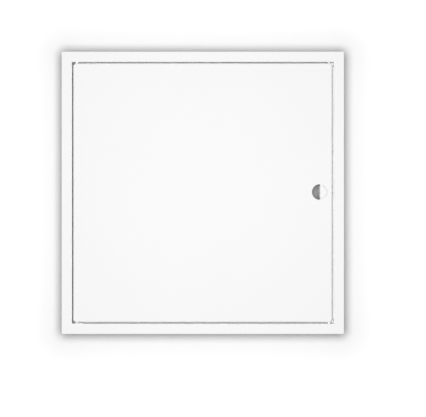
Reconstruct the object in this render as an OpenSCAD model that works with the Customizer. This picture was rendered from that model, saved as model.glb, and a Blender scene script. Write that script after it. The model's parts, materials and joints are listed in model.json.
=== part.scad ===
// Ceiling access panel: a folded sheet-steel frame with a flush, lift-out hinged door.
// The visible face looks along -Y, X runs to the right and Z up; the back of the flange lies on y = 0.
// The origin is the centre of the opening, so the box goes into the ceiling along +Y.
// In a ceiling the panel is turned so that the face looks down.

/* [Panel] */
// Overall width across the flange
panel_w = 330; // [230:1:630]
// Overall height across the flange
panel_h = 330; // [230:1:630]
// Width of the flange that laps over the ceiling
flange_w = 12.2; // [8:0.1:30]
// Rounding of the flange's outer corners
flange_corner_r = 2; // [0.5:0.1:5]
// Depth of the box behind the flange
box_depth = 28; // [26:1:80]

/* [Sheet] */
// Thickness of the folded sheet
sheet_t = 1; // [0.8:0.1:1.2]
// Inside radius of every fold
fold_r = 0.2; // [0.2:0.1:0.6]

/* [Door] */
// Gap between the door and the hinge rail
hinge_gap = 1.2; // [1:0.1:2.5]
// Gap between the door and the latch rail
latch_gap = 1.6; // [1.3:0.1:3]
// Gap between the door and the top rail
top_gap = 1.3; // [0.8:0.1:2.5]
// Gap between the door and the bottom rail
bottom_gap = 1.5; // [0.8:0.1:2.5]
// Depth of the door pan from its face to its rim
pan_depth = 6; // [5.8:0.1:6.4]
// Length of the relief at each corner of the pan, where the folds stop
corner_relief = 2; // [1.8:0.1:2.6]

/* [Finger hole] */
// Radius of the half-moon finger hole
finger_r = 9.2; // [7:0.1:14]
// Distance from the door's free edge to the straight side of the finger hole
finger_inset = 14.4; // [10:0.1:40]
// Height of the finger hole's centre above the middle of the door
finger_rise = 0.8; // [-60:0.1:60]
// Width of the slit at each end of the finger hole's fold
finger_slit = 0.4; // [0.2:0.1:1]
// Angle by which the finger hole's flap stops short of a right angle
finger_lean = 7.5; // [0:7.5:15]
// Height of the raised half-disc beside the finger hole
lip_rise = 0.8; // [0.4:0.1:1]
// Width of the slope round the raised half-disc
lip_slope = 1.8; // [1.4:0.1:2.4]

/* [Fixing holes] */
// Diameter of the screw holes in the box walls
fix_hole_d = 4.5; // [3:0.1:6]
// Distance of the screw holes from the corners of the box
fix_inset = 45; // [20:1:90]
// Distance of the screw holes from the box's rear edge
fix_edge = 7; // [5:0.5:8]

/* [Stops and seals] */
// Width of a stop's leg in front of the opening
stop_leg = 7; // [5.5:0.1:8]
// Width of a stop's leg along the box wall
stop_wall_leg = 8; // [4:0.5:9]
// Distance from the hinge axis to the ends of the top and bottom stops
stop_start = 9; // [7:0.5:30]
// Radius of the D-section seals
seal_r = 2.5; // [2:0.1:2.7]
// Wall thickness of the hollow seals
seal_wall = 0.8; // [0.5:0.1:1.2]
// Thickness of the fin that stands in the gap on the latch side
fin_t = 0.6; // [0.4:0.1:0.8]
// Distance of the fin's edge behind the door's face
fin_set_back = 3; // [2:0.1:4]

/* [Pins] */
// Diameter of the hinge pins and catches
pin_d = 3; // [2.4:0.1:3.2]
// Distance of the pin axes behind the door's face
pin_set_back = 3.5; // [3.3:0.1:3.7]
// Distance of the hinge axis from the door's hinge edge
hinge_inset = 4.3; // [4.1:0.1:6]
// Distance of the catches from the door's free edge
catch_inset = 3.6; // [3.5:0.1:8]
// Length of a hinge pin inside the rail
hinge_engage = 2.2; // [1.5:0.1:3]
// Length of a catch inside the rail
catch_engage = 1.2; // [0.8:0.1:1.4]
// Length of the fixed hinge pin inside its block
fixed_pin_hold = 12; // [6:0.5:20]
// Travel of the sprung hinge pin
hinge_travel = 3; // [2.6:0.1:4]

/* [Sockets] */
// Diameter of a socket's spigot through the rail
socket_spigot_d = 3.9; // [3.8:0.1:4]
// Diameter of a socket's head outside the rail
socket_head_d = 8; // [6:0.5:12]
// Thickness of a socket's closed end
socket_floor = 1; // [0.6:0.1:2]
// Lead-in chamfer of a socket's mouth
socket_lead = 0.2; // [0.1:0.05:0.25]

/* [Corner blocks] */
// Width of a corner block
block_w = 16; // [15:0.5:24]
// Length of a corner block
block_l = 26; // [26:0.5:40]
// Rounding of a block's inner corners
block_corner_r = 3; // [1:0.5:5]
// Thickness of a block's back over its pocket
block_roof = 0.9; // [0.6:0.1:1]
// Thickness of the wall that guides a pin
pin_wall = 2; // [1.5:0.1:3]
// Length of a block's pocket
pocket_l = 20; // [16:0.5:21]
// Width of the thumb tab's slot in a block's back
slot_w = 2.4; // [1.8:0.1:2.6]

/* [Sliders and springs] */
// Width of a slider's body
slider_w = 6; // [5:0.1:6.5]
// Length of a slider's body
slider_l = 6; // [4:0.5:8]
// Width of the thumb tab on the sprung hinge pin
tab_w = 1.9; // [1.4:0.1:2.2]
// Length of the thumb tab along the pin
tab_l = 3; // [2:0.5:5]
// Height of the thumb tab above the block
tab_h = 3.5; // [2:0.5:5]
// Outside diameter of the springs
spring_d = 3.2; // [2.8:0.1:3.4]
// Diameter of the spring wire
spring_wire = 0.4; // [0.3:0.05:0.5]
// Number of turns in a spring
spring_turns = 9; // [6:1:12]
// Length of the peg that holds a spring on its slider
peg_l = 1.5; // [1:0.1:2]

/* [Fasteners] */
// Diameter of the weld studs
stud_d = 3; // [2.5:0.1:3.2]
// Length of the stud above its nut
stud_over = 0.6; // [0.3:0.1:0.8]
// Distance between the two studs of a block
stud_pitch = 13; // [9:0.5:14]
// Distance of the first stud from a block's outer end
stud_start = 8.5; // [8.5:0.5:10]
// Distance of the studs from the pin's axis
stud_offset = 9; // [8.4:0.1:9.5]
// Width of a nut across its flats
nut_af = 5.5; // [5:0.1:5.6]
// Height of a nut
nut_h = 2.2; // [1.5:0.1:2.4]

/* [Clearances] */
// Radial clearance of a pin that turns or slides
run_clear = 0.05; // [0.02:0.01:0.1]
// Radial clearance of a piece that is pressed in
press_clear = 0.02; // [0.01:0.01:0.04]
// Clearance of a slider in its pocket, and of a pin's end
slide_clear = 0.1; // [0.05:0.01:0.2]
// Gap between neighbours that don't bear on each other
seat_clear = 0.3; // [0.2:0.05:0.4]

/* [Hidden] */

$fn = 48;

// Overshoot of a cutting solid past the surface that it cuts
over = 1;
// Overlap of a folded edge with the flat sheet that it continues
lap = 2;
// Sides of the spring wire, and steps in one turn of a spring
wire_sides = 6;
turn_steps = 16;

// Colours of the pieces
paint_white = [0.95, 0.95, 0.94];
nylon_white = [0.90, 0.90, 0.88];
silicone_white = [0.86, 0.86, 0.85];
zinc_grey = [0.72, 0.73, 0.75];
spring_grey = [0.55, 0.56, 0.58];

// Frame
fold_out_r = fold_r + sheet_t;
front_y = -sheet_t;
open_w = panel_w - 2 * flange_w;
open_h = panel_h - 2 * flange_w;

// Door
door_x0 = hinge_gap - open_w / 2;
door_x1 = open_w / 2 - latch_gap;
door_z0 = bottom_gap - open_h / 2;
door_z1 = open_h / 2 - top_gap;
door_w = door_x1 - door_x0;
door_h = door_z1 - door_z0;
rim_y = front_y + pan_depth;
finger_x = door_x1 - finger_inset;
lip_r = finger_r - lip_slope;
flap_half = sqrt(pow(lip_r, 2) - pow(fold_out_r + lap, 2));
finger_z = (door_z0 + door_z1) / 2 + finger_rise;

// Pins, sockets and stops
pin_y = front_y + pin_set_back;
hinge_x = door_x0 + hinge_inset;
catch_x = door_x1 - catch_inset;
bore_d = pin_d + 2 * run_clear;
socket_depth = hinge_engage + slide_clear;
socket_head_h = socket_depth + socket_floor - sheet_t;
stop_y = rim_y + seat_clear + seal_r;
stop_x0 = hinge_x + stop_start;

// Corner blocks, measured from the pin axis and from the inside of the pan's return
block_top = -seat_clear;
block_end = block_top - block_l;
fold_step = fold_r + slide_clear;
pocket_top = block_top - pin_wall;
pocket_end = pocket_top - pocket_l;
pocket_roof_y = rim_y - block_roof;
pocket_x0 = -pin_d / 2 - slide_clear;
slider_top = pocket_top - slide_clear;
slider_end = slider_top - slider_l;
slider_t = pocket_roof_y - 2 * slide_clear;
slider_mid_x = (slider_w - pin_d) / 2;
slider_mid_y = slide_clear + slider_t / 2;
peg_d = spring_d - 2 * spring_wire - 2 * slide_clear;
stud_zs = [block_top - stud_start, block_top - stud_start - stud_pitch];
tab_top = slider_top - (slider_l - tab_l) / 2;
slot_l = tab_l + hinge_travel + 2 * slide_clear;
slot_end = tab_top + slide_clear - slot_l;
stud_top_y = rim_y + nut_h + stud_over;

// Shapes that repeat

// What a rounding of radius r takes off a square corner that lies on the origin
module corner_waste(r) {
    difference() {
        translate([-over, -over]) square(r + over);
        translate([r, r]) circle(r);
    }
}

// Section of a fold, its outside corner on the origin and its legs along +X and +Y.
// The second leg turns about the fold's axis by the given lean.
module folded_section(leg_x, leg_y, lean = 0) {
    translate([fold_out_r, 0]) square([leg_x - fold_out_r, sheet_t]);
    translate([fold_out_r, fold_out_r]) {
        rotate(lean) translate([-fold_out_r, 0]) square([sheet_t, leg_y - fold_out_r]);
        intersection() {
            difference() {
                circle(fold_out_r);
                circle(fold_r);
            }
            translate([-fold_out_r, -fold_out_r]) square(fold_out_r);
            rotate(lean) translate([-2 * fold_out_r, -2 * fold_out_r])
                square([3 * fold_out_r, 2 * fold_out_r]);
        }
    }
}

// A plan drawn in X and Z, made solid from y0 to y1
module solid_between(y0, y1) {
    translate([0, y1, 0]) rotate([90, 0, 0]) linear_extrude(y1 - y0) children();
}

// A corner of the door: +X leads away from the door's edge and +Z out towards the rail
module at_corner(x, z, right, upper) {
    translate([x, 0, z]) mirror([right ? 1 : 0, 0, 0]) mirror([0, 0, upper ? 0 : 1]) children();
}

module at_hinge(upper, z_up, z_low) {
    at_corner(hinge_x, upper ? z_up : z_low, false, upper) children();
}

module at_catch(upper, z_up, z_low) {
    at_corner(catch_x, upper ? z_up : z_low, true, upper) children();
}

// Frame pieces

// One mitred rail across the top of an opening of the given width and height
module rail(width, height) {
    difference() {
        intersection() {
            translate([0, front_y, height / 2]) rotate([0, -90, 0])
                linear_extrude(width + 2 * flange_w, center = true)
                    folded_section(flange_w, box_depth + sheet_t);
            solid_between(front_y - over, box_depth + over) difference() {
                polygon([
                    [-width / 2, height / 2],
                    [width / 2, height / 2],
                    [width / 2 + flange_w, height / 2 + flange_w],
                    [-width / 2 - flange_w, height / 2 + flange_w],
                ]);
                for (side = [0, 1]) mirror([side, 0])
                    translate([-width / 2 - flange_w, height / 2 + flange_w]) mirror([0, 1])
                        corner_waste(flange_corner_r);
            }
        }
        for (side = [-1, 1])
            translate([side * (width / 2 - fix_inset), box_depth - fix_edge, height / 2 - over])
                cylinder(d = fix_hole_d, h = sheet_t + 2 * over);
    }
}

// A rail across the hinge and catch sides, with the two socket holes
module socketed_rail() {
    difference() {
        rail(open_w, open_h);
        for (x = [hinge_x, catch_x]) translate([x, pin_y, open_h / 2 - over])
            cylinder(d = socket_spigot_d + 2 * press_clear, h = sheet_t + 2 * over);
    }
}

module top_rail() {
    color(paint_white) socketed_rail();
}

module bottom_rail() {
    color(paint_white) mirror([0, 0, 1]) socketed_rail();
}

module hinge_rail() {
    color(paint_white) rotate([0, -90, 0]) rail(open_h, open_w);
}

module latch_rail() {
    color(paint_white) rotate([0, 90, 0]) rail(open_h, open_w);
}

// A stop angle that runs along X from x0 to x1, under the top of an opening of the given height
module stop_angle(x0, x1, height) {
    translate([x0, stop_y, height / 2]) rotate([0, 90, 0])
        linear_extrude(x1 - x0) folded_section(stop_leg, stop_wall_leg);
}

// A hollow D-section seal on the front of such a stop
module seal_strip(x0, x1, height) {
    translate([x0, stop_y, height / 2 - seal_r - seat_clear]) rotate([0, 90, 0])
        linear_extrude(x1 - x0) difference() {
            intersection() {
                circle(seal_r);
                translate([-seal_r, -seal_r]) square([2 * seal_r, seal_r]);
            }
            translate([0, -seal_wall]) intersection() {
                circle(seal_r - 2 * seal_wall);
                translate([-seal_r, -seal_r]) square([2 * seal_r, seal_r]);
            }
        }
}

module top_stop() {
    color(paint_white) stop_angle(stop_x0, open_w / 2, open_h);
}

module bottom_stop() {
    color(paint_white) mirror([0, 0, 1]) stop_angle(stop_x0, open_w / 2, open_h);
}

module latch_stop() {
    half = open_h / 2 - stop_leg - seat_clear;
    color(paint_white) rotate([0, 90, 0]) stop_angle(-half, half, open_w);
}

module top_seal() {
    color(silicone_white) seal_strip(stop_x0, open_w / 2 - seat_clear, open_h);
}

module bottom_seal() {
    color(silicone_white) mirror([0, 0, 1]) seal_strip(stop_x0, open_w / 2 - seat_clear, open_h);
}

module latch_seal() {
    half = open_h / 2 - 2 * seal_r - 2 * seat_clear;
    fin_y = front_y + fin_set_back;
    color(silicone_white) {
        rotate([0, 90, 0]) seal_strip(-half, half, open_w);
        translate([open_w / 2 - fin_t, fin_y, -half]) cube([fin_t, stop_y - fin_y, 2 * half]);
    }
}

// A blind socket, drawn on a pin's axis from the rail's inner face outwards
module socket() {
    color(nylon_white) translate([0, pin_y, 0]) difference() {
        union() {
            cylinder(d = socket_spigot_d, h = sheet_t);
            translate([0, 0, sheet_t]) intersection() {
                cylinder(d = socket_head_d, h = socket_head_h);
                translate([-socket_head_d, fold_step - pin_y, -over])
                    cube([2 * socket_head_d, socket_head_d, socket_head_h + 2 * over]);
            }
        }
        translate([0, 0, -over]) cylinder(d = bore_d, h = socket_depth + over);
        cylinder(d1 = bore_d + 2 * socket_lead, d2 = bore_d, h = socket_lead);
    }
}

module upper_pivot_bush() {
    at_hinge(true, open_h / 2, -open_h / 2) socket();
}

module lower_pivot_bush() {
    at_hinge(false, open_h / 2, -open_h / 2) socket();
}

module upper_strike_bush() {
    at_catch(true, open_h / 2, -open_h / 2) socket();
}

module lower_strike_bush() {
    at_catch(false, open_h / 2, -open_h / 2) socket();
}

// Door pieces

// Folded edge of the pan along X, at the top of the door
module level_edge() {
    translate([(door_x0 + door_x1) / 2, front_y, 0]) rotate([0, 90, 0])
        linear_extrude(door_w - 2 * corner_relief, center = true)
            folded_section(fold_out_r + lap, pan_depth);
}

// Folded edge of the pan along Z, at the hinge side of the door
module upright_edge() {
    translate([0, front_y, (door_z0 + door_z1) / 2])
        linear_extrude(door_h - 2 * corner_relief, center = true)
            folded_section(fold_out_r + lap, pan_depth);
}

// What the end of a return gives up to let a pin pass, in the corner's own frame
module pin_notch(inset) {
    translate([-inset - over, fold_step, -slide_clear])
        cube([inset + over + pin_d / 2 + 2 * seat_clear, pan_depth, sheet_t + over]);
}

// Half-moon hole, with the straight side widened for the fold
module finger_opening() {
    intersection() {
        circle(finger_r);
        translate([-2 * finger_r, -finger_r]) square(2 * finger_r);
    }
    translate([-over, -flap_half - finger_slit]) square([over + fold_out_r, 2 * (flap_half + finger_slit)]);
}

// Half-disc with a sloping rim that stands up from the depth foot_y, and its foot carried on behind that
module raised_half(foot_y, behind) {
    rim = [[0, -behind], [finger_r, -behind], [finger_r, 0], [lip_r, lip_rise], [0, lip_rise]];
    translate([0, foot_y, 0]) intersection() {
        rotate([90, 0, 0]) rotate_extrude() polygon(rim);
        translate([0, -lip_rise - over, -finger_r])
            cube([finger_r, lip_rise + behind + 2 * over, 2 * finger_r]);
    }
}

// What is left of the cut-out half-moon, folded in along the raised straight side
module finger_flap() {
    fold_y = front_y - lip_rise;
    intersection() {
        translate([0, fold_y, -flap_half]) linear_extrude(2 * flap_half)
            folded_section(fold_out_r + lap, finger_r + sheet_t, finger_lean);
        translate([fold_out_r, fold_y + fold_out_r, 0]) rotate([0, 0, finger_lean])
            translate([-fold_out_r - over, -fold_out_r, 0]) rotate([0, 90, 0])
                cylinder(r = finger_r, h = fold_out_r + lap + 2 * over);
    }
}

module door_panel() {
    color(paint_white) difference() {
        union() {
            difference() {
                union() {
                    translate([door_x0 + fold_out_r, front_y, door_z0 + fold_out_r])
                        cube([door_w - 2 * fold_out_r, sheet_t, door_h - 2 * fold_out_r]);
                    translate([finger_x, 0, finger_z]) raised_half(front_y, sheet_t / 2);
                }
                translate([finger_x, 0, finger_z]) {
                    solid_between(front_y - lip_rise - over, over) finger_opening();
                    raised_half(0, over);
                }
            }
            translate([0, 0, door_z1]) level_edge();
            translate([0, 0, door_z0]) mirror([0, 0, 1]) level_edge();
            translate([door_x0, 0, 0]) upright_edge();
            translate([door_x1, 0, 0]) mirror([1, 0, 0]) upright_edge();
            translate([finger_x, 0, finger_z]) finger_flap();
        }
        for (upper = [true, false]) {
            at_hinge(upper, door_z1 - sheet_t, door_z0 + sheet_t) pin_notch(hinge_inset);
            at_catch(upper, door_z1 - sheet_t, door_z0 + sheet_t) pin_notch(catch_inset);
        }
    }
}

// Children at one of the four corners, inside the pan
module in_pan(hinge, upper) {
    if (hinge) at_hinge(upper, door_z1 - sheet_t, door_z0 + sheet_t) children();
    else at_catch(upper, door_z1 - sheet_t, door_z0 + sheet_t) children();
}

// Outer side of a block whose pin lies at the given distance from the door's edge
function block_x0(inset) = sheet_t + seat_clear - inset;

// Block without its pin bore: rounded inner corners, a step over the folds and two stud holes
module block_blank(inset) {
    x0 = block_x0(inset);
    difference() {
        solid_between(0, rim_y) difference() {
            translate([x0, block_end]) square([block_w, block_l]);
            translate([x0 + block_w, block_end]) mirror([1, 0]) corner_waste(block_corner_r);
            translate([x0 + block_w, block_top]) mirror([1, 0]) mirror([0, 1])
                corner_waste(block_corner_r);
        }
        translate([x0 - over, -over, block_end - over])
            cube([fold_step + over, fold_step + over, block_l + 2 * over]);
        translate([x0 - over, -over, block_top - fold_step])
            cube([block_w + 2 * over, fold_step + over, fold_step + over]);
        for (z = stud_zs) translate([stud_offset, -over, z]) rotate([-90, 0, 0])
            cylinder(d = stud_d + 2 * slide_clear, h = rim_y + 2 * over);
    }
}

// Block with a pocket for a slider and its spring, open towards the door's sheet
module pocket_block(inset) {
    color(nylon_white) difference() {
        block_blank(inset);
        translate([pocket_x0, -over, pocket_end])
            cube([slider_w + 2 * slide_clear, pocket_roof_y + over, pocket_l]);
        translate([slider_mid_x - slot_w / 2, 0, slot_end]) cube([slot_w, rim_y + over, slot_l]);
        translate([0, pin_y, pocket_top - over]) cylinder(d = bore_d, h = pin_wall + 2 * over);
    }
}

module upper_hinge_block() {
    in_pan(true, true) pocket_block(hinge_inset);
}

module upper_catch_block() {
    in_pan(false, true) pocket_block(catch_inset);
}

module lower_catch_block() {
    in_pan(false, false) pocket_block(catch_inset);
}

// Block with a plain bore for the fixed pin
module lower_hinge_block() {
    color(nylon_white) in_pan(true, false) difference() {
        block_blank(hinge_inset);
        translate([0, pin_y, block_top - fixed_pin_hold])
            cylinder(d = pin_d + 2 * press_clear, h = fixed_pin_hold + over);
    }
}

// Children at each of the eight studs
module at_studs() {
    for (upper = [true, false]) for (z = stud_zs) {
        in_pan(true, upper) translate([stud_offset, 0, z]) children();
        in_pan(false, upper) translate([stud_offset, 0, z]) children();
    }
}

module block_studs() {
    color(zinc_grey) at_studs() rotate([-90, 0, 0]) cylinder(d = stud_d, h = stud_top_y);
}

module block_nuts() {
    color(zinc_grey) at_studs() translate([0, rim_y, 0]) rotate([-90, 0, 0]) difference() {
        cylinder(d = nut_af / cos(30), h = nut_h, $fn = 6);
        translate([0, 0, -over]) cylinder(d = stud_d + 2 * press_clear, h = nut_h + 2 * over);
    }
}

// Body that slides in a pocket, with the peg for its spring
module slider_body() {
    translate([-pin_d / 2, slide_clear, slider_end]) cube([slider_w, slider_t, slider_l]);
    translate([slider_mid_x, slider_mid_y, slider_end - peg_l]) cylinder(d = peg_d, h = peg_l + over);
}

// Pin from the height z0 to the height z1, with a chamfered end
module chamfered_pin(z0, z1) {
    chamfer = pin_d / 6;
    translate([0, pin_y, 0]) rotate_extrude() polygon([
        [0, z0],
        [pin_d / 2, z0],
        [pin_d / 2, z1 - chamfer],
        [pin_d / 2 - chamfer, z1],
        [0, z1],
    ]);
}

// Pin from the height z0 to the height z1, with a round nose
module round_nosed_pin(z0, z1) {
    translate([0, pin_y, z0]) cylinder(d = pin_d, h = z1 - z0 - pin_d / 2);
    translate([0, pin_y, z1 - pin_d / 2]) sphere(d = pin_d);
}

// Tab that stands up through the slot of a block, with a round end
module thumb_tab() {
    end_y = rim_y + tab_h - tab_l / 2;
    translate([slider_mid_x - tab_w / 2, 0, tab_top - tab_l / 2]) {
        translate([0, slider_mid_y, -tab_l / 2]) cube([tab_w, end_y - slider_mid_y, tab_l]);
        translate([0, end_y, 0]) rotate([0, 90, 0]) cylinder(d = tab_l, h = tab_w);
    }
}

module upper_hinge_pin() {
    color(nylon_white) in_pan(true, true) {
        slider_body();
        chamfered_pin(slider_top - over, sheet_t + top_gap + hinge_engage);
        thumb_tab();
    }
}

module lower_hinge_pin() {
    color(nylon_white) in_pan(true, false)
        chamfered_pin(block_top - fixed_pin_hold, sheet_t + bottom_gap + hinge_engage);
}

module catch_plunger(gap) {
    color(nylon_white) {
        slider_body();
        round_nosed_pin(slider_top - over, sheet_t + gap + catch_engage);
    }
}

module upper_catch_plunger() {
    in_pan(false, true) catch_plunger(top_gap);
}

module lower_catch_plunger() {
    in_pan(false, false) catch_plunger(bottom_gap);
}

// Height along a spring after some turns: the two end turns are closed, the others evenly open
function coil_rise(turn, length) =
    turn < 1 ? turn * spring_wire
    : turn > spring_turns - 1 ? length - (spring_turns - turn) * spring_wire
    : spring_wire + (turn - 1) * (length - 2 * spring_wire) / (spring_turns - 2);

// Closed compression spring that fills its pocket behind a slider
module coil_spring() {
    z0 = pocket_end + slide_clear + spring_wire / 2;
    length = slider_end - pocket_end - 2 * slide_clear - spring_wire;
    radius = (spring_d - spring_wire) / 2;
    steps = spring_turns * turn_steps;
    rings = [
        for (i = [0 : steps]) for (k = [0 : wire_sides - 1])
            let (turn = i / turn_steps, round_wire = 360 * k / wire_sides)
            let (reach = radius + spring_wire / 2 * cos(round_wire))
            [
                slider_mid_x + reach * cos(360 * turn),
                slider_mid_y + reach * sin(360 * turn),
                z0 + coil_rise(turn, length) + spring_wire / 2 * sin(round_wire),
            ]
    ];
    walls = [
        for (i = [0 : steps - 1]) for (k = [0 : wire_sides - 1])
            let (a = i * wire_sides + k, b = i * wire_sides + (k + 1) % wire_sides)
            [a, b, b + wire_sides, a + wire_sides]
    ];
    first_end = [for (k = [wire_sides - 1 : -1 : 0]) k];
    last_end = [for (k = [0 : wire_sides - 1]) steps * wire_sides + k];
    color(spring_grey) polyhedron(rings, concat(walls, [first_end, last_end]));
}

module hinge_pin_spring() {
    in_pan(true, true) coil_spring();
}

module upper_catch_spring() {
    in_pan(false, true) coil_spring();
}

module lower_catch_spring() {
    in_pan(false, false) coil_spring();
}

top_rail();
bottom_rail();
hinge_rail();
latch_rail();
top_stop();
bottom_stop();
latch_stop();
top_seal();
bottom_seal();
latch_seal();
upper_pivot_bush();
lower_pivot_bush();
upper_strike_bush();
lower_strike_bush();
door_panel();
upper_hinge_block();
lower_hinge_block();
upper_catch_block();
lower_catch_block();
block_studs();
block_nuts();
upper_hinge_pin();
lower_hinge_pin();
upper_catch_plunger();
lower_catch_plunger();
hinge_pin_spring();
upper_catch_spring();
lower_catch_spring();
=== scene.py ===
import json
import math

import bmesh
import bpy
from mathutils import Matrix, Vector


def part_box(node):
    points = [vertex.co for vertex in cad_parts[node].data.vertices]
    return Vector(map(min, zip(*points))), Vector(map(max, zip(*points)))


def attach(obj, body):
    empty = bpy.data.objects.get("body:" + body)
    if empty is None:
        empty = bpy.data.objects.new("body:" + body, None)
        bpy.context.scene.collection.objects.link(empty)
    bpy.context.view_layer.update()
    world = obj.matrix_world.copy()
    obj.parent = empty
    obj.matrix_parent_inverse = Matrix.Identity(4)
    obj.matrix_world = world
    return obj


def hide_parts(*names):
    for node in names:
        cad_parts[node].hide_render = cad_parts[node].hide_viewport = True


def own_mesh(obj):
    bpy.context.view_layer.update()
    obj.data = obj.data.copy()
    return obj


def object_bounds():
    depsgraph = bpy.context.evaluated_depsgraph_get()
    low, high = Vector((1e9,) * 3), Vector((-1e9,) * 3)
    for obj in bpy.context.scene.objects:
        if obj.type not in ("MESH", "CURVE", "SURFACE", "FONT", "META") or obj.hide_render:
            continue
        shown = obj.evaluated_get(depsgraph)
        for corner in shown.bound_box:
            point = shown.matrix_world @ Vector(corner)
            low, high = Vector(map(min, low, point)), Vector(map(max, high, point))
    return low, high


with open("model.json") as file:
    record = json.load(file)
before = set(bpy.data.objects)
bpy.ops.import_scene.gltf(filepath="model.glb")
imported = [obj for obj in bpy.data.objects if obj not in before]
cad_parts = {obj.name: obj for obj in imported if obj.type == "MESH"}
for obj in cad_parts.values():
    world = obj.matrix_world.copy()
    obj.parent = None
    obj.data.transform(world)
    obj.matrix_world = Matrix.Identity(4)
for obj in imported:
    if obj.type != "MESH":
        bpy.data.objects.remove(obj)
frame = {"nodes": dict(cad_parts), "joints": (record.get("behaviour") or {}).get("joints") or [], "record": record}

cad_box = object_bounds()
MM = 0.001
NODES = frame["nodes"]

# Photograph's frame and the panel's place in it, in pixels
PHOTO_W = 426
PHOTO_H = 417
PANEL_W_PX = 282.3
PANEL_CENTRE_PX = (202.8, 192.8)

# Camera: metres to the panel's front, and the sensor's width in millimetres
CAMERA_DISTANCE = 3.6
SENSOR_W = 36.0

# Floor, in metres; the painted glow and the fade are distances beyond a square behind the flange
FLOOR_REACH = 0.8
FLOOR_GAP = 0.0002
SHADE_SQUARE = 0.155
PAINTED_GLOW_START = 0.006
PAINTED_GLOW_END = 0.07
FLOOR_PAINTED_GLOW = 0.28
FADE_START = 0.16
FADE_END = 0.62
BOX_REACH = 0.1532
HINGE_STRIP = 0.011

# Soft boxes: place and size in metres, power in watts
FRONT_PLACE = (-0.01, -1.4, 0.015)
FRONT_SIZE = 0.9
FRONT_WATTS = 22.3
REAR_BOXES = {
    "key": ((-0.19, 1.9, 0.9), 0.3, 24.0),
    "fill": ((-0.6, 1.9, -0.5), 0.6, 12.0),
}

# Springs, studs and nuts, in millimetres
SPRING_WIRE = 0.4
SPRING_TURNS = 9
STUD_D = 3.0
STUD_REACH = 4.0  # round a stud's axis, where only its own vertices lie
THREAD_PITCH = 0.5
THREAD_DEPTH = 0.27
NUT_FLATS = 5.5
NUT_FACE = 5.2
NUT_OVER = 0.5  # the chamfering cone's overrun past the nut's faces
NUT_CHAMFER = math.radians(30)
HEX_HALF = math.pi / 6

# Rounded rims of the nylon pieces, in millimetres and degrees
RIM_ROUND = 0.5
RIM_TURN = 60.0
SAME_PLACE = 0.002
SAME_PLANE = 0.5

# Welds, in millimetres
SHEET = 1.0
WELD_RING_D = 4.2
WELD_RIM = 0.14
WELD_INSET = 3.5
WELD_END = 14.0
WELD_STEP = 44.0
BEAD_D = 2.4
BEAD_INSET = 0.35
BEAD_START = 17.0
BEAD_END = 26.0
BEAD_STEP = 0.9

# Fineness of the round shapes, in sides and steps
COIL_STEPS = 32
WIRE_SIDES = 12
CONE_SIDES = 48
BORE_SIDES = 32
STUD_SIDES = 24
STUD_STEPS = 104
RING_SIDES = 28
RING_RIM_SIDES = 8
DROP_SPLITS = 3
RIM_STEPS = 3


def linear(hex_colour):
    """Linear RGBA of an sRGB hex colour such as F4F4F2."""
    parts = [int(hex_colour[i : i + 2], 16) / 255 for i in (0, 2, 4)]
    return [p / 12.92 if p <= 0.04045 else ((p + 0.055) / 1.055) ** 2.4 for p in parts] + [1.0]


def add(tree, kind, inputs=(), links=(), **settings):
    """Adds a node to a tree with its settings, input values and links."""
    node = tree.nodes.new(kind)
    for name, value in settings.items():
        setattr(node, name, value)
    for socket, value in dict(inputs).items():
        node.inputs[socket].default_value = value
    for socket, source in dict(links).items():
        tree.links.new(source, node.inputs[socket])
    return node


def per_metre(size_mm):
    """Texture scale on Object coordinates that gives features of the given size."""
    return 1 / (size_mm * MM)


# Materials


def surface(name, colours, tone_mm, roughness, grain_mm, grain_depth_mm, metallic=0.0, **constants):
    """A finish with a slow change of tone, a grain that stands up in light and an uneven gloss."""
    material = bpy.data.materials.new(name)
    material.use_nodes = True
    tree = material.node_tree
    tree.nodes.clear()
    place = add(tree, "ShaderNodeTexCoord").outputs["Object"]
    tone = add(
        tree,
        "ShaderNodeTexNoise",
        {"Scale": per_metre(tone_mm), "Detail": 3.0},
        {"Vector": place},
    )
    grain = add(
        tree,
        "ShaderNodeTexNoise",
        {"Scale": per_metre(grain_mm), "Detail": 2.0, "Roughness": 0.4},
        {"Vector": place},
    )
    colour = add(
        tree,
        "ShaderNodeMix",
        {6: linear(colours[0]), 7: linear(colours[1])},
        {0: tone.outputs[0]},
        data_type="RGBA",
    )
    gloss = add(
        tree,
        "ShaderNodeMapRange",
        {"From Min": 0.3, "From Max": 0.7, "To Min": roughness[0], "To Max": roughness[1]},
        {"Value": grain.outputs[0]},
    )
    bump = add(
        tree,
        "ShaderNodeBump",
        {"Strength": 1.0, "Distance": grain_depth_mm * MM},
        {"Height": grain.outputs[0]},
    )
    shader = add(
        tree,
        "ShaderNodeBsdfPrincipled",
        {"Metallic": metallic, **constants},
        {
            "Base Color": colour.outputs[2],
            "Roughness": gloss.outputs[0],
            "Normal": bump.outputs[0],
        },
    )
    add(tree, "ShaderNodeOutputMaterial", links={"Surface": shader.outputs[0]})
    return material


# The grains of the nylon, acetal, zinc and wire are drawn coarser than real ones, which are too fine to show

# Polyester powder coat, sprayed and baked on steel: satin white with a faint orange peel
POWDER_COAT = surface(
    "white_powder_coated_steel", ("EFEFEF", "F1F1F1"), 90, (0.62, 0.72), 1.1, 0.012, IOR=1.5
)
# Extruded silicone rubber: soft, matt white without a hard sheen
SILICONE = surface(
    "white_silicone_rubber", ("F0F0F0", "F4F4F4"), 12, (0.6, 0.72), 0.5, 0.01, IOR=1.41
)
# Moulded nylon: warm natural white with a fine spark-eroded mould texture
NYLON = surface(
    "moulded_natural_nylon", ("EAE8E1", "F0EFEA"), 8, (0.45, 0.6), 0.35, 0.015, IOR=1.53
)
# Moulded acetal: cleaner, harder white with a slippery gloss
ACETAL = surface(
    "moulded_white_acetal", ("F1F1EF", "F5F5F4"), 6, (0.3, 0.4), 0.4, 0.006, IOR=1.48
)
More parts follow.
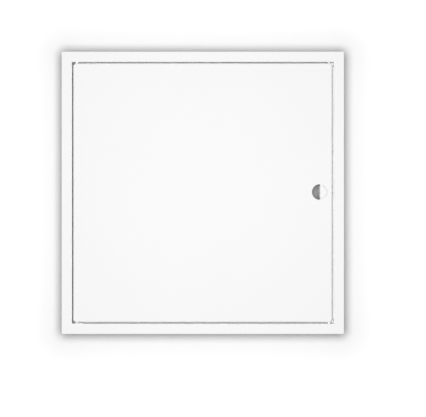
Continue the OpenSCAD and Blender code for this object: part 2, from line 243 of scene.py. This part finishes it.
# Bright zinc plate on steel: bluish silver, clouded by the passivation
ZINC = surface(
    "zinc_plated_steel", ("B9BDC4", "D0D2D4"), 1.6, (0.25, 0.4), 0.25, 0.003, metallic=1.0
)
# Drawn spring wire: darker steel with a dull polish
SPRING_STEEL = surface(
    "drawn_spring_steel", ("84868A", "9B9DA0"), 0.8, (0.25, 0.36), 0.15, 0.003, metallic=1.0
)

FINISH_OF_SLOT = {
    "frame_paint": POWDER_COAT,
    "door_paint": POWDER_COAT,
    "silicone": SILICONE,
    "nylon": NYLON,
    "acetal": ACETAL,
    "zinc": ZINC,
    "spring_steel": SPRING_STEEL,
}

for subpart in frame["record"]["subparts"]:
    slots = NODES[subpart["node"]].data.materials
    slots.clear()
    slots.append(FINISH_OF_SLOT[subpart["material_slot"]])


# Springs, nuts, studs and welds


def size_tree(name, **sizes):
    """A Geometry Nodes tree that takes points and named sizes; gives the tree and its inputs."""
    tree = bpy.data.node_groups.new(name, "GeometryNodeTree")
    for way in ("INPUT", "OUTPUT"):
        tree.interface.new_socket("Geometry", in_out=way, socket_type="NodeSocketGeometry")
    for size, kind in sizes.items():
        tree.interface.new_socket(size, in_out="INPUT", socket_type="NodeSocket" + kind)
    return tree, add(tree, "NodeGroupInput").outputs


def finish_tree(tree, geometry, finish, smooth):
    """Ends a tree in real faces that carry their finish."""
    real = add(tree, "GeometryNodeRealizeInstances", links={0: geometry})
    shaded = add(tree, "GeometryNodeSetShadeSmooth", {"Shade Smooth": smooth}, {0: real.outputs[0]})
    coated = add(tree, "GeometryNodeSetMaterial", {"Material": finish}, {0: shaded.outputs[0]})
    add(tree, "NodeGroupOutput", links={0: coated.outputs[0]})


def grown_piece(name, tree, points, sizes, body, slot, *replaced):
    """Runs a tree on points and keeps the result as a plain mesh that moves with a body."""
    mesh = bpy.data.meshes.new(name + "_points")
    mesh.from_pydata(points, [], [])
    source = bpy.data.objects.new(name + "_points", mesh)
    bpy.context.scene.collection.objects.link(source)
    modifier = source.modifiers.new(tree.name, "NODES")
    modifier.node_group = tree
    for socket in tree.interface.items_tree:
        if socket.in_out == "INPUT" and socket.name in sizes:
            modifier[socket.identifier] = sizes[socket.name]
    evaluated = source.evaluated_get(bpy.context.evaluated_depsgraph_get())
    piece = bpy.data.objects.new(name, bpy.data.meshes.new_from_object(evaluated))
    bpy.data.objects.remove(source)
    bpy.context.scene.collection.objects.link(piece)
    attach(piece, body)
    if replaced:
        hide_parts(*replaced)
    return piece


def spring_tree():
    """Round wire wound on a coil radius, with one closed turn at each end."""
    tree, size = size_tree(
        "compression_spring",
        turns="Float",
        coil_radius="Float",
        wire_radius="Float",
        length="Float",
        foot="Vector",
    )
    coil = add(
        tree,
        "GeometryNodeCurveSpiral",
        {"Resolution": COIL_STEPS, "Height": 0.0},
        {
            "Rotations": size["turns"],
            "Start Radius": size["coil_radius"],
            "End Radius": size["coil_radius"],
        },
    )
    along = add(tree, "GeometryNodeSplineParameter")
    turn = add(
        tree,
        "ShaderNodeMath",
        links={0: along.outputs["Factor"], 1: size["turns"]},
        operation="MULTIPLY",
    )
    closed = add(tree, "ShaderNodeMath", {1: 2.0}, {0: size["wire_radius"]}, operation="MULTIPLY")
    last = add(tree, "ShaderNodeMath", {1: 1.0}, {0: size["turns"]}, operation="SUBTRACT")
    both = add(tree, "ShaderNodeMath", {1: 2.0}, {0: closed.outputs[0]}, operation="MULTIPLY")
    free = add(tree, "ShaderNodeMath", links={0: size["length"], 1: both.outputs[0]}, operation="SUBTRACT")
    foot_turn = add(
        tree,
        "ShaderNodeMapRange",
        {"From Min": 0.0, "From Max": 1.0},
        {"Value": turn.outputs[0], "To Max": closed.outputs[0]},
    )
    open_turns = add(
        tree,
        "ShaderNodeMapRange",
        {"From Min": 1.0},
        {"Value": turn.outputs[0], "From Max": last.outputs[0], "To Max": free.outputs[0]},
    )
    head_turn = add(
        tree,
        "ShaderNodeMapRange",
        links={
            "Value": turn.outputs[0],
            "From Min": last.outputs[0],
            "From Max": size["turns"],
            "To Max": closed.outputs[0],
        },
    )
    lower = add(
        tree,
        "ShaderNodeMath",
        links={0: foot_turn.outputs[0], 1: open_turns.outputs[0]},
        operation="ADD",
    )
    rise = add(
        tree,
        "ShaderNodeMath",
        links={0: lower.outputs[0], 1: head_turn.outputs[0]},
        operation="ADD",
    )
    lift = add(tree, "ShaderNodeCombineXYZ", links={"Z": rise.outputs[0]})
    path = add(
        tree,
        "GeometryNodeSetPosition",
        links={"Geometry": coil.outputs[0], "Offset": lift.outputs[0]},
    )
    round_wire = add(
        tree,
        "GeometryNodeCurvePrimitiveCircle",
        {"Resolution": WIRE_SIDES},
        {"Radius": size["wire_radius"]},
    )
    wire = add(
        tree,
        "GeometryNodeCurveToMesh",
        {"Fill Caps": True},
        {"Curve": path.outputs[0], "Profile Curve": round_wire.outputs[0]},
    )
    placed = add(
        tree,
        "GeometryNodeTransform",
        links={"Geometry": wire.outputs[0], "Translation": size["foot"]},
    )
    finish_tree(tree, placed.outputs[0], SPRING_STEEL, True)
    return tree


def nut_tree():
    """Hexagon nuts on points: a prism with its corners turned off by a cone, and its bore."""
    tree, size = size_tree(
        "hex_nuts",
        corner_radius="Float",
        height="Float",
        cone_top_radius="Float",
        cone_foot_radius="Float",
        cone_height="Float",
        bore_radius="Float",
    )
    prism = add(
        tree,
        "GeometryNodeMeshCylinder",
        {"Vertices": 6},
        {"Radius": size["corner_radius"], "Depth": size["height"]},
    )
    turned = add(
        tree,
        "GeometryNodeMeshCone",
        {"Vertices": CONE_SIDES},
        {
            "Radius Top": size["cone_top_radius"],
            "Radius Bottom": size["cone_foot_radius"],
            "Depth": size["cone_height"],
        },
    )
    half = add(tree, "ShaderNodeMath", {1: -0.5}, {0: size["cone_height"]}, operation="MULTIPLY")
    sunk = add(tree, "ShaderNodeCombineXYZ", links={"Z": half.outputs[0]})
    seated = add(
        tree,
        "GeometryNodeTransform",
        links={"Geometry": turned.outputs[0], "Translation": sunk.outputs[0]},
    )
    chamfered = add(tree, "GeometryNodeMeshBoolean", operation="INTERSECT", solver="EXACT")
    for shape in (prism, seated):
        tree.links.new(shape.outputs[0], chamfered.inputs["Mesh 2"])
    drill = add(
        tree,
        "GeometryNodeMeshCylinder",
        {"Vertices": BORE_SIDES},
        {"Radius": size["bore_radius"], "Depth": size["cone_height"]},
    )
    bored = add(
        tree,
        "GeometryNodeMeshBoolean",
        links={"Mesh 1": chamfered.outputs[0], "Mesh 2": drill.outputs[0]},
        operation="DIFFERENCE",
        solver="EXACT",
    )
    nuts = add(
        tree,
        "GeometryNodeInstanceOnPoints",
        {"Rotation": (math.radians(-90), 0, 0)},
        {"Points": size["Geometry"], "Instance": bored.outputs[0]},
    )
    finish_tree(tree, nuts.outputs[0], ZINC, False)
    return tree


def stud_tree():
    """Weld studs on points: a rod whose side follows a helical thread and ends in a chamfer."""
    tree, size = size_tree("threaded_studs", radius="Float", length="Float", pitch="Float", depth="Float")
    rod = add(
        tree,
        "GeometryNodeMeshCylinder",
        {"Vertices": STUD_SIDES, "Side Segments": STUD_STEPS},
        {"Radius": size["radius"], "Depth": size["length"]},
    )
    place = add(tree, "GeometryNodeInputPosition")
    axes = add(tree, "ShaderNodeSeparateXYZ", links={0: place.outputs[0]})
    angle = add(
        tree,
        "ShaderNodeMath",
        links={0: axes.outputs["Y"], 1: axes.outputs["X"]},
        operation="ARCTAN2",
    )
    share = add(tree, "ShaderNodeMath", {1: 1 / math.tau}, {0: angle.outputs[0]}, operation="MULTIPLY")
    climb = add(tree, "ShaderNodeMath", links={0: axes.outputs["Z"], 1: size["pitch"]}, operation="DIVIDE")
    phase = add(
        tree,
        "ShaderNodeMath",
        links={0: climb.outputs[0], 1: share.outputs[0]},
        operation="SUBTRACT",
    )
    flank = add(tree, "ShaderNodeMath", {1: 0.5}, {0: phase.outputs[0]}, operation="PINGPONG")
    cut = add(tree, "ShaderNodeMath", links={0: flank.outputs[0], 1: size["depth"]}, operation="MULTIPLY")
    groove = add(tree, "ShaderNodeMath", {1: 2.0}, {0: cut.outputs[0]}, operation="MULTIPLY")
    end = add(tree, "ShaderNodeMath", {1: 0.5}, {0: size["length"]}, operation="MULTIPLY")
    run_out = add(tree, "ShaderNodeMath", links={0: end.outputs[0], 1: size["depth"]}, operation="SUBTRACT")
    chamfer = add(
        tree,
        "ShaderNodeMapRange",
        links={
            "Value": axes.outputs["Z"],
            "From Min": run_out.outputs[0],
            "From Max": end.outputs[0],
            "To Max": size["depth"],
        },
    )
    deeper = add(
        tree,
        "ShaderNodeMath",
        links={0: groove.outputs[0], 1: chamfer.outputs[0]},
        operation="MAXIMUM",
    )
    taken_off = add(
        tree,
        "ShaderNodeMath",
        links={0: deeper.outputs[0], 1: size["radius"]},
        operation="DIVIDE",
    )
    inward = add(tree, "ShaderNodeMath", {1: -1.0}, {0: taken_off.outputs[0]}, operation="MULTIPLY")
    flat_place = add(tree, "ShaderNodeCombineXYZ", links={"X": axes.outputs["X"], "Y": axes.outputs["Y"]})
    shift = add(
        tree,
        "ShaderNodeVectorMath",
        links={0: flat_place.outputs[0], "Scale": inward.outputs[0]},
        operation="SCALE",
    )
    thread = add(
        tree,
        "GeometryNodeSetPosition",
        links={"Geometry": rod.outputs[0], "Offset": shift.outputs[0]},
    )
    studs = add(
        tree,
        "GeometryNodeInstanceOnPoints",
        {"Rotation": (math.radians(-90), 0, 0)},
        {"Points": size["Geometry"], "Instance": thread.outputs[0]},
    )
    finish_tree(tree, studs.outputs[0], ZINC, False)
    return tree


def weld_mark_tree():
    """Electrode marks of spot welds on points: a low ring, turned to the face that it lies on."""
    tree, size = size_tree("spot_weld_marks", ring_radius="Float", rim_radius="Float", turn="Vector")
    ring = add(
        tree,
        "GeometryNodeCurvePrimitiveCircle",
        {"Resolution": RING_SIDES},
        {"Radius": size["ring_radius"]},
    )
    rim = add(
        tree,
        "GeometryNodeCurvePrimitiveCircle",
        {"Resolution": RING_RIM_SIDES},
        {"Radius": size["rim_radius"]},
    )
    mark = add(
        tree,
        "GeometryNodeCurveToMesh",
        links={"Curve": ring.outputs[0], "Profile Curve": rim.outputs[0]},
    )
    marks = add(
        tree,
        "GeometryNodeInstanceOnPoints",
        links={"Points": size["Geometry"], "Instance": mark.outputs[0], "Rotation": size["turn"]},
    )
    finish_tree(tree, marks.outputs[0], POWDER_COAT, True)
    return tree


def weld_bead_tree():
    """Weld beads on rows of points: overlapping drops that leave ripples along the seam."""
    tree, size = size_tree("weld_beads", drop_radius="Float")
    drop = add(
        tree,
        "GeometryNodeMeshIcoSphere",
        {"Subdivisions": DROP_SPLITS},
        {"Radius": size["drop_radius"]},
    )
    drops = add(
        tree,
        "GeometryNodeInstanceOnPoints",
        links={"Points": size["Geometry"], "Instance": drop.outputs[0]},
    )
    finish_tree(tree, drops.outputs[0], POWDER_COAT, True)
    return tree


SPRINGS = spring_tree()
for joint in frame["joints"]:
    for deforming in joint.get("deforming_nodes", []):
        low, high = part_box(deforming["node"])
        middle = (low + high) / 2
        wire = SPRING_WIRE * MM / 2
        spring = grown_piece(
            deforming["node"].replace("_spring", "_coil"),
            SPRINGS,
            [],
            {
                "turns": SPRING_TURNS,
                "coil_radius": (high.x - low.x) / 2 - wire,
                "wire_radius": wire,
                "length": high.z - low.z - 2 * wire,
                "foot": (middle.x, middle.y, low.z + wire),
            },
            "door",
            "spring_steel",
            deforming["node"],
        )
        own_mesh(spring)


def stud_places(y):
    """A point on each stud's axis at the given depth, from the solid studs' own vertices."""
    groups = []
    for vertex in NODES["block_studs"].data.vertices:
        for group in groups:
            if (vertex.co.xz - group[0]).length < STUD_REACH * MM:
                group.append(vertex.co.xz)
                break
        else:
            groups.append([vertex.co.xz])
    middles = []
    for group in groups:
        xs, zs = zip(*group)
        middles.append(((min(xs) + max(xs)) / 2, y, (min(zs) + max(zs)) / 2))
    return middles


low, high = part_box("block_studs")
grown_piece(
    "threaded_studs",
    stud_tree(),
    stud_places((low.y + high.y) / 2),
    {
        "radius": STUD_D * MM / 2,
        "length": high.y - low.y,
        "pitch": THREAD_PITCH * MM,
        "depth": THREAD_DEPTH * MM,
    },
    "door",
    "zinc",
    "block_studs",
)

low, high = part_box("block_nuts")
cone_slope = math.tan(NUT_CHAMFER)
grown_piece(
    "chamfered_nuts",
    nut_tree(),
    stud_places((low.y + high.y) / 2),
    {
        "corner_radius": NUT_FLATS * MM / 2 / math.cos(HEX_HALF),
        "height": high.y - low.y,
        "cone_top_radius": NUT_FACE * MM / 2 - NUT_OVER * MM / cone_slope,
        "cone_foot_radius": NUT_FACE * MM / 2 + (high.y - low.y + NUT_OVER * MM) / cone_slope,
        "cone_height": high.y - low.y + 2 * NUT_OVER * MM,
        "bore_radius": STUD_D * MM / 2,
    },
    "door",
    "zinc",
    "block_nuts",
)


STUD_AXES = [Vector(place) for place in stud_places(0)]


def eased_moulding(name, node, body, facing):
    """A copy of a moulded nylon piece with a rounded rim on the face that looks the given way."""
    shape = bmesh.new()
    shape.from_mesh(NODES[node].data)
    bmesh.ops.remove_doubles(shape, verts=shape.verts, dist=SAME_PLACE * MM)
    bmesh.ops.dissolve_limit(
        shape,
        angle_limit=math.radians(SAME_PLANE),
        verts=shape.verts,
        edges=shape.edges,
    )
    face_reach = max(vertex.co.dot(facing) for vertex in shape.verts) - SAME_PLACE * MM
    rim = {
        vertex
        for vertex in shape.verts
        if vertex.co.dot(facing) > face_reach
        and all((vertex.co - axis).xz.length > STUD_D * MM for axis in STUD_AXES)
    }
    rim_edges = [
        edge
        for edge in shape.edges
        if rim.issuperset(edge.verts) and edge.calc_face_angle_signed() > math.radians(RIM_TURN)
    ]
    bmesh.ops.bevel(
        shape,
        geom=rim_edges,
        offset=RIM_ROUND * MM,
        segments=RIM_STEPS,
        profile=0.5,
        affect="EDGES",
    )
    mesh = bpy.data.meshes.new(name)
    shape.to_mesh(mesh)
    shape.free()
    mesh.materials.append(NYLON)
    piece = bpy.data.objects.new(name, mesh)
    bpy.context.scene.collection.objects.link(piece)
    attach(piece, body)
    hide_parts(node)


for node in NODES:
    if node.endswith("_block"):
        eased_moulding(node.replace("_block", "_moulding"), node, "door", Vector((0, 1, 0)))
    elif node.endswith("_bush"):
        outward = 1 if node.startswith("upper") else -1
        eased_moulding(node.replace("_bush", "_cup"), node, "frame", Vector((0, 0, outward)))


def spread(start, end, step):
    """Places from start to end, at about the given step."""
    count = round((end - start) / step)
    return [start + (end - start) * i / count for i in range(count + 1)]


# Spot welds that hold the stops' long legs to the rails
WELD_MARKS = weld_mark_tree()
ring = {"ring_radius": WELD_RING_D * MM / 2, "rim_radius": WELD_RIM * MM}
top_low, top_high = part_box("top_stop")
bottom_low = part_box("bottom_stop")[0]
latch_low, latch_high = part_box("latch_stop")
weld_y = top_high.y - WELD_INSET * MM
level = spread(top_low.x + WELD_END * MM, top_high.x - WELD_END * MM, WELD_STEP * MM)
upright = spread(latch_low.z + WELD_END * MM, latch_high.z - WELD_END * MM, WELD_STEP * MM)
grown_piece(
    "level_weld_marks",
    WELD_MARKS,
    [(x, weld_y, z) for x in level for z in (top_high.z - SHEET * MM, bottom_low.z + SHEET * MM)],
    {**ring, "turn": (0, 0, 0)},
    "frame",
    "frame_paint",
)
grown_piece(
    "upright_weld_marks",
    WELD_MARKS,
    [(latch_high.x - SHEET * MM, weld_y, z) for z in upright],
    {**ring, "turn": (0, math.radians(90), 0)},
    "frame",
    "frame_paint",
)

# Weld beads up the four inside corners of the box
bead_x = latch_high.x - BEAD_INSET * MM
grown_piece(
    "corner_weld_beads",
    weld_bead_tree(),
    [
        (x, y, z)
        for x in (-bead_x, bead_x)
        for z in (bottom_low.z + BEAD_INSET * MM, top_high.z - BEAD_INSET * MM)
        for y in spread(BEAD_START * MM, BEAD_END * MM, BEAD_STEP * MM)
    ],
    {"drop_radius": BEAD_D * MM / 2},
    "frame",
    "frame_paint",
)


# Stage, light and camera


def floor_finish(name, hex_colour, glow):
    """Matt floor paint, clear from behind to show the panel's back, that fades out away from the panel.

    A faint painted glow beyond the panel's shade evens out the light, so that the ground is plain white.
    Both follow the distance outside a square, and the floor's own depth is kept out of it.
    """
    material = bpy.data.materials.new(name)
    material.use_nodes = True
    tree = material.node_tree
    tree.nodes.clear()
    place = add(tree, "ShaderNodeTexCoord")
    size = add(
        tree,
        "ShaderNodeVectorMath",
        links={0: place.outputs["Object"]},
        operation="ABSOLUTE",
    )
    past = add(
        tree,
        "ShaderNodeVectorMath",
        {1: (SHADE_SQUARE, FLOOR_REACH, SHADE_SQUARE)},
        {0: size.outputs[0]},
        operation="SUBTRACT",
    )
    outside = add(tree, "ShaderNodeVectorMath", {1: (0, 0, 0)}, {0: past.outputs[0]}, operation="MAXIMUM")
    reach = add(tree, "ShaderNodeVectorMath", links={0: outside.outputs[0]}, operation="LENGTH")
    strength = add(
        tree,
        "ShaderNodeMapRange",
        {"From Min": PAINTED_GLOW_START, "From Max": PAINTED_GLOW_END, "To Max": glow},
        {"Value": reach.outputs["Value"]},
    )
    fade = add(
        tree,
        "ShaderNodeMapRange",
        {"From Min": FADE_START, "From Max": FADE_END},
        {"Value": reach.outputs["Value"]},
        interpolation_type="SMOOTHSTEP",
    )
    paint = add(tree, "ShaderNodeBsdfDiffuse", {"Color": linear(hex_colour)})
    # Painted glow: the floor gives off light of its own, rising with the distance from the panel
    painted_glow_emission = add(tree, "ShaderNodeEmission", links={"Strength": strength.outputs[0]})
    front = add(tree, "ShaderNodeAddShader", links={0: paint.outputs[0], 1: painted_glow_emission.outputs[0]})
    back = add(tree, "ShaderNodeBsdfTransparent")
    side = add(tree, "ShaderNodeNewGeometry")
    clear = add(
        tree,
        "ShaderNodeMath",
        links={0: side.outputs["Backfacing"], 1: fade.outputs[0]},
        operation="MAXIMUM",
    )
    both = add(
        tree,
        "ShaderNodeMixShader",
        links={0: clear.outputs[0], 1: front.outputs[0], 2: back.outputs[0]},
    )
    add(tree, "ShaderNodeOutputMaterial", links={"Surface": both.outputs[0]})
    return material


def floor_piece(name, places, faces, finish):
    """A piece of the floor behind the panel; it casts no shadow, so the rear boxes reach the panel."""
    mesh = bpy.data.meshes.new(name)
    mesh.from_pydata(places, [], faces)
    mesh.materials.append(finish)
    piece = bpy.data.objects.new(name, mesh)
    piece.visible_shadow = False
    bpy.context.scene.collection.objects.link(piece)
    return piece


def floor_corners(x0, x1, z0, z1):
    """Corners of a rectangle of floor, in the order that turns its face to the panel."""
    y = cad_box[1].y + FLOOR_GAP
    return [(x0, y, z0), (x1, y, z0), (x1, y, z1), (x0, y, z1)]


# The white floor carries a painted glow that rises away from the panel
WHITE_FLOOR = floor_finish("white_floor_painted_glow", "EFEFEF", FLOOR_PAINTED_GLOW)
# A greyer, shaded copy of the white floor, seen only by bounced light
SHADED_RETURN_FLOOR = floor_finish("shaded_copy_grey_return", "A8A8A8", 0.0)
# Greyer under the box: painted shade, which keeps the finger hole and the gaps dim
PAINTED_SHADE_FLOOR = floor_finish("painted_shade_grey_floor", "C8C8C8", 0.0)
outer = floor_corners(-FLOOR_REACH, FLOOR_REACH, -FLOOR_REACH, FLOOR_REACH)
under_box = floor_corners(-BOX_REACH, BOX_REACH, -BOX_REACH, BOX_REACH)
round_box = [(i, (i + 1) % 4, (i + 1) % 4 + 4, i + 4) for i in range(4)]
floor_piece("floor", outer + under_box, round_box, WHITE_FLOOR).visible_diffuse = False
# In its place a greyer, shaded copy of the floor, seen only by bounced light, returns light to the box's walls,
# which keeps the flange's back from glaring
shaded_return = floor_piece("floor_return", outer + under_box, round_box, SHADED_RETURN_FLOOR)
shaded_return.visible_camera = False
shaded_return.visible_glossy = False
# Beside the hinge wall this painted shade shows in the coat's sheen as a painted dark reflection, which keeps that
# gap dark
beside_hinges = floor_corners(-BOX_REACH, -BOX_REACH + HINGE_STRIP, -BOX_REACH, BOX_REACH)
floor_piece("floor_beside_hinges", beside_hinges, [(0, 1, 2, 3)], PAINTED_SHADE_FLOOR)
# Under the door it doesn't, so the nuts reflect the room; there the painted shade shows through the finger hole
under_door = floor_corners(-BOX_REACH + HINGE_STRIP, BOX_REACH, -BOX_REACH, BOX_REACH)
floor_piece("floor_under_door", under_door, [(0, 1, 2, 3)], PAINTED_SHADE_FLOOR).visible_glossy = False


def soft_box(name, place, size, watts):
    """A round soft box that looks at the panel."""
    data = bpy.data.lights.new(name, "AREA")
    data.shape = "DISK"
    data.size = size
    data.energy = watts
    obj = bpy.data.objects.new(name, data)
    obj.location = place
    obj.rotation_euler = (-Vector(place)).to_track_quat("-Z", "Y").to_euler()
    bpy.context.scene.collection.objects.link(obj)
    return data


# The front box stands round the camera's axis, so the panel's shadow is a narrow rim on the floor
soft_box("front_soft_box", FRONT_PLACE, FRONT_SIZE, FRONT_WATTS)
# The rear boxes give direct light only, so they show the panel's back and leave the gaps dark
for side, (place, size, watts) in REAR_BOXES.items():
    soft_box("rear_" + side + "_box", place, size, watts).cycles.max_bounces = 0

world = bpy.data.worlds.new("pale_room")
bpy.context.scene.world = world
world.use_nodes = True
world.node_tree.nodes["Background"].inputs["Color"].default_value = linear("E4E4E4")
world.node_tree.nodes["Background"].inputs["Strength"].default_value = 1.0
world.cycles_visibility.diffuse = False
bpy.context.scene.view_settings.view_transform = "Standard"

metres_per_px = (cad_box[1].x - cad_box[0].x) / PANEL_W_PX
lens = bpy.data.cameras.new("camera")
lens.sensor_width = SENSOR_W
lens.lens = SENSOR_W * CAMERA_DISTANCE / (PHOTO_W * metres_per_px)
camera = bpy.data.objects.new("camera", lens)
camera.location = (
    (PHOTO_W / 2 - PANEL_CENTRE_PX[0]) * metres_per_px,
    cad_box[0].y - CAMERA_DISTANCE,
    (PANEL_CENTRE_PX[1] - PHOTO_H / 2) * metres_per_px,
)
camera.rotation_euler = (math.radians(90), 0, 0)
bpy.context.scene.collection.objects.link(camera)
bpy.context.scene.camera = camera
